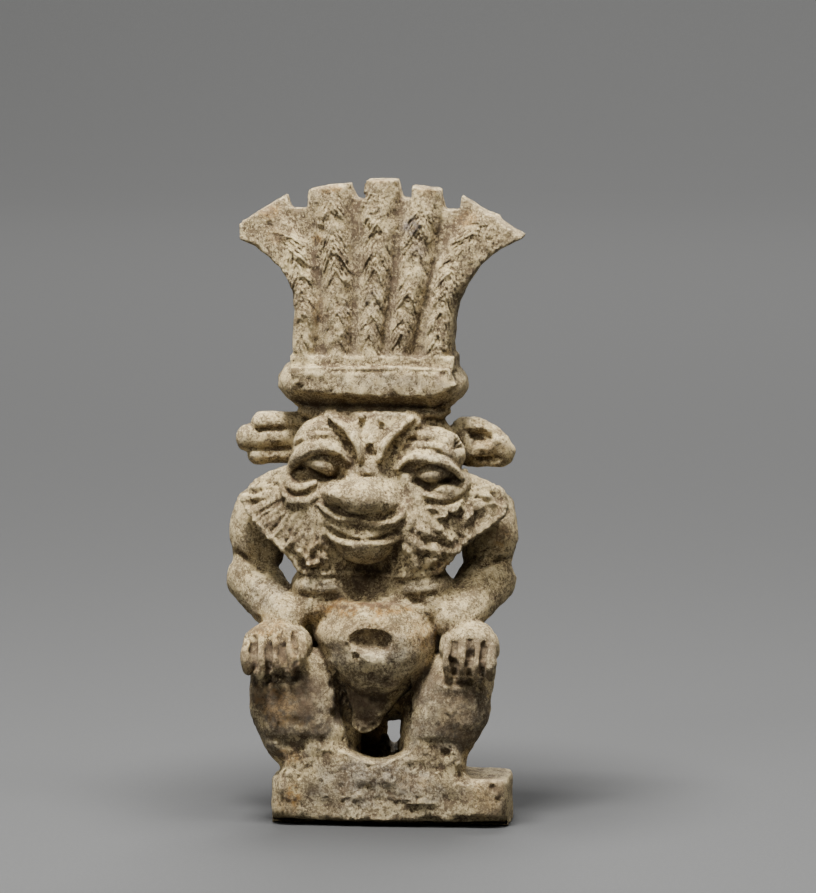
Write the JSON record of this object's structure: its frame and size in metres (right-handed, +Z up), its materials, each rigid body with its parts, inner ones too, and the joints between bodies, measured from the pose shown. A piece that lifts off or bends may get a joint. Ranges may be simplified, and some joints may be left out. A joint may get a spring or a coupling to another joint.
{
  "type": "bes figure",
  "caption": "Squatting dwarf-god figure with lion ears, mane and grimacing face, hands on knees, tall flaring plume crown, on a low worn plinth; stands on its underside.",
  "frame": {"origin": "on the underside of the plinth, under the middle line of the body", "axes": "+Z up, the face looks along -Y, +X is to the viewer's right"},
  "size_m": [0.0189, 0.0112, 0.04],
  "materials": {
    "stone": "worn matt cream stone, once glazed, with brown stains and dark dirt in the cuts"
  },
  "bodies": {
    "root": {"bes_figure": "stone"}
  },
  "joints": []
}
